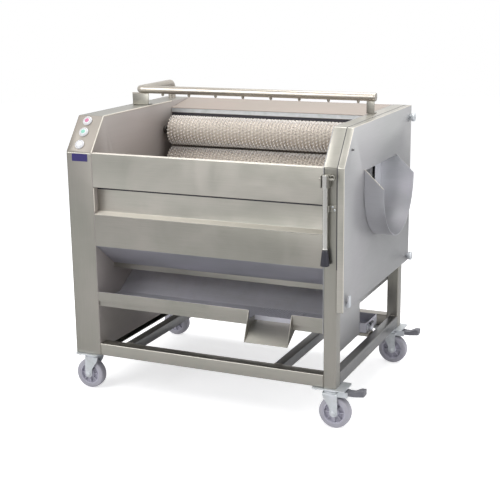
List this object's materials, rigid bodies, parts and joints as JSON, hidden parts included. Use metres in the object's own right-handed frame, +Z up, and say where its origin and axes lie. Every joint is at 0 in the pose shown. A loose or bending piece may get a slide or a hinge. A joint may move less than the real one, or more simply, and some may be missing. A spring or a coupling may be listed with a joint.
{
  "type": "electric potato peeler",
  "caption": "Stainless brush roller potato washer and peeler on casters, with drive box, spray pipe, waste tray and side discharge chute.",
  "frame": {"origin": "on the floor, under the middle of the whole machine's box", "axes": "+X along the rollers from the drive box to the discharge chute, +Y from the front to the back, +Z up"},
  "size_m": [1.012, 0.727, 0.9716],
  "materials": {
    "body_steel": "brushed stainless sheet, satin",
    "inner_steel": "mill stainless sheet and tube",
    "polished_steel": "bright rolled stainless sheet",
    "tray_steel": "smooth stainless sheet, bluish",
    "zinc_steel": "zinc plated steel, bright",
    "brush_nylon": "cream nylon bristle tufts",
    "wheel_rubber": "grey elastic tread and hub",
    "grip_plastic": "black moulded grip",
    "gearbox_paint": "grey-blue enamel on cast housing",
    "chain_steel": "oiled roller chain",
    "button_red": "red push button",
    "button_green": "green push button",
    "button_white": "white push button"
  },
  "bodies": {
    "machine": {"drive_housing": "body_steel", "drive_side_sheet": "body_steel", "housing_inner_plate": "polished_steel", "control_panel": "body_steel", "front_apron": "body_steel", "lower_front_panel": "body_steel", "inner_back_panel": "polished_steel", "rear_housing": "body_steel", "right_end_plate": "polished_steel", "front_right_post": "body_steel", "right_top_frame": "body_steel", "rear_right_leg": "body_steel", "base_front_rail": "body_steel", "base_rear_rail": "inner_steel", "cross_rail_left": "body_steel", "cross_rail_right": "body_steel", "side_rail_right": "body_steel", "side_cover": "body_steel", "discharge_chute": "polished_steel", "lever_bracket": "zinc_steel", "lever_keeper": "zinc_steel", "spray_pipe": "polished_steel", "spray_bracket_left": "body_steel", "spray_bracket_right": "body_steel", "catch_tray": "tray_steel", "waste_spout": "tray_steel", "drain_pan": "tray_steel", "pan_support": "inner_steel", "gear_motor": "gearbox_paint", "drive_chain": "chain_steel", "caster_plate_front_left": "zinc_steel", "caster_plate_rear_left": "zinc_steel", "caster_plate_front_right": "zinc_steel", "caster_plate_rear_right": "zinc_steel"},
    "stop_button": {"stop_button": "button_red"},
    "start_button": {"start_button": "button_green"},
    "reset_button": {"reset_button": "button_white"},
    "cover_knob_upper": {"cover_knob_upper": "zinc_steel"},
    "cover_knob_lower": {"cover_knob_lower": "zinc_steel"},
    "cover_catch": {"cover_catch": "zinc_steel"},
    "discharge_gate": {"discharge_gate": "inner_steel"},
    "valve_handle": {"valve_handle": "grip_plastic"},
    "brush_roller_1": {"brush_roller_1": "brush_nylon"},
    "brush_roller_2": {"brush_roller_2": "brush_nylon"},
    "brush_roller_3": {"brush_roller_3": "brush_nylon"},
    "brush_roller_4": {"brush_roller_4": "brush_nylon"},
    "brush_roller_5": {"brush_roller_5": "brush_nylon"},
    "brush_roller_6": {"brush_roller_6": "brush_nylon"},
    "lever": {"gate_lever": "zinc_steel", "lever_grip": "grip_plastic"},
    "caster_fork_front_left": {"caster_fork_front_left": "zinc_steel"},
    "caster_wheel_front_left": {"caster_wheel_front_left": "wheel_rubber"},
    "caster_fork_rear_left": {"caster_fork_rear_left": "zinc_steel"},
    "caster_wheel_rear_left": {"caster_wheel_rear_left": "wheel_rubber"},
    "caster_fork_front_right": {"caster_fork_front_right": "zinc_steel"},
    "caster_wheel_front_right": {"caster_wheel_front_right": "wheel_rubber"},
    "brake_pedal_front_right": {"brake_pedal_front_right": "grip_plastic"},
    "caster_fork_rear_right": {"caster_fork_rear_right": "zinc_steel"},
    "caster_wheel_rear_right": {"caster_wheel_rear_right": "wheel_rubber"},
    "brake_pedal_rear_right": {"brake_pedal_rear_right": "grip_plastic"}
  },
  "joints": [
    {"name": "stop_button_press", "type": "slide", "parent": "machine", "child": "stop_button", "axis": [0, 0.7881, -0.6155], "range_m": [0, 0.004], "stiffness_N_per_m": 300, "springref_m": -0.002},
    {"name": "start_button_press", "type": "slide", "parent": "machine", "child": "start_button", "axis": [0, 0.7881, -0.6155], "range_m": [0, 0.004], "stiffness_N_per_m": 300, "springref_m": -0.002},
    {"name": "reset_button_press", "type": "slide", "parent": "machine", "child": "reset_button", "axis": [0, 0.7881, -0.6155], "range_m": [0, 0.004], "stiffness_N_per_m": 300, "springref_m": -0.002},
    {"name": "cover_knob_upper_turn", "type": "hinge", "parent": "machine", "child": "cover_knob_upper", "pos_m": [0.446, 0.3365, 0.866], "axis": [1, 0, 0], "continuous": true},
    {"name": "cover_knob_lower_turn", "type": "hinge", "parent": "machine", "child": "cover_knob_lower", "pos_m": [0.446, 0.3365, 0.388], "axis": [1, 0, 0], "continuous": true},
    {"name": "cover_catch_turn", "type": "hinge", "parent": "machine", "child": "cover_catch", "pos_m": [0.446, -0.2965, 0.388], "axis": [1, 0, 0], "range_deg": [0, 90]},
    {"name": "discharge_gate_lift", "type": "slide", "parent": "machine", "child": "discharge_gate", "axis": [0, 0, 1], "range_m": [0, 0.1]},
    {"name": "gate_lever_swing", "type": "hinge", "parent": "machine", "child": "lever", "pos_m": [0.392, -0.3455, 0.769], "axis": [-1, 0, 0], "range_deg": [0, 60]},
    {"name": "valve_handle_turn", "type": "hinge", "parent": "machine", "child": "valve_handle", "pos_m": [0.394, 0.0915, 0.206], "axis": [0, 0, -1], "range_deg": [0, 90]},
    {"name": "brush_roller_1_spin", "type": "hinge", "parent": "machine", "child": "brush_roller_1", "pos_m": [-0.006, 0.15655, 0.81185], "axis": [1, 0, 0], "continuous": true},
    {"name": "brush_roller_2_spin", "type": "hinge", "parent": "machine", "child": "brush_roller_2", "pos_m": [-0.006, 0.14694, 0.70419], "axis": [1, 0, 0], "continuous": true},
    {"name": "brush_roller_3_spin", "type": "hinge", "parent": "machine", "child": "brush_roller_3", "pos_m": [-0.006, 0.08234, 0.61752], "axis": [1, 0, 0], "continuous": true},
    {"name": "brush_roller_4_spin", "type": "hinge", "parent": "machine", "child": "brush_roller_4", "pos_m": [-0.006, -0.0181, 0.57755], "axis": [1, 0, 0], "continuous": true},
    {"name": "brush_roller_5_spin", "type": "hinge", "parent": "machine", "child": "brush_roller_5", "pos_m": [-0.006, -0.12458, 0.59614], "axis": [1, 0, 0], "continuous": true},
    {"name": "brush_roller_6_spin", "type": "hinge", "parent": "machine", "child": "brush_roller_6", "pos_m": [-0.006, -0.20554, 0.66776], "axis": [1, 0, 0], "continuous": true},
    {"name": "caster_front_left_swivel", "type": "hinge", "parent": "machine", "child": "caster_fork_front_left", "pos_m": [-0.444, -0.2885, 0.112], "axis": [0, 0, 1], "continuous": true},
    {"name": "caster_front_left_roll", "type": "hinge", "parent": "caster_fork_front_left", "child": "caster_wheel_front_left", "pos_m": [-0.456, -0.2885, 0.05], "axis": [0, 1, 0], "continuous": true},
    {"name": "caster_rear_left_swivel", "type": "hinge", "parent": "machine", "child": "caster_fork_rear_left", "pos_m": [-0.438, 0.3115, 0.112], "axis": [0, 0, 1], "continuous": true},
    {"name": "caster_rear_left_roll", "type": "hinge", "parent": "caster_fork_rear_left", "child": "caster_wheel_rear_left", "pos_m": [-0.45, 0.3115, 0.05], "axis": [0, 1, 0], "continuous": true},
    {"name": "caster_front_right_swivel", "type": "hinge", "parent": "machine", "child": "caster_fork_front_right", "pos_m": [0.399, -0.2985, 0.112], "axis": [0, 0, 1], "continuous": true},
    {"name": "caster_front_right_roll", "type": "hinge", "parent": "caster_fork_front_right", "child": "caster_wheel_front_right", "pos_m": [0.411, -0.2985, 0.05], "axis": [0, 1, 0], "continuous": true},
    {"name": "brake_pedal_front_right_press", "type": "hinge", "parent": "caster_fork_front_right", "child": "brake_pedal_front_right", "pos_m": [0.437, -0.2985, 0.113], "axis": [0, 1, 0], "range_deg": [0, 12]},
    {"name": "caster_rear_right_swivel", "type": "hinge", "parent": "machine", "child": "caster_fork_rear_right", "pos_m": [0.393, 0.3215, 0.112], "axis": [0, 0, 1], "continuous": true},
    {"name": "caster_rear_right_roll", "type": "hinge", "parent": "caster_fork_rear_right", "child": "caster_wheel_rear_right", "pos_m": [0.405, 0.3215, 0.05], "axis": [0, 1, 0], "continuous": true},
    {"name": "brake_pedal_rear_right_press", "type": "hinge", "parent": "caster_fork_rear_right", "child": "brake_pedal_rear_right", "pos_m": [0.431, 0.3215, 0.113], "axis": [0, 1, 0], "range_deg": [0, 12]}
  ],
  "couplings": [
    {"joint": "brush_roller_2_spin", "follows": "brush_roller_1_spin", "ratio": 1},
    {"joint": "brush_roller_3_spin", "follows": "brush_roller_1_spin", "ratio": 1},
    {"joint": "brush_roller_4_spin", "follows": "brush_roller_1_spin", "ratio": 1},
    {"joint": "brush_roller_5_spin", "follows": "brush_roller_1_spin", "ratio": 1},
    {"joint": "brush_roller_6_spin", "follows": "brush_roller_1_spin", "ratio": 1},
    {"joint": "gate_lever_swing", "follows": "discharge_gate_lift", "rad_per_m": 10.4}
  ]
}
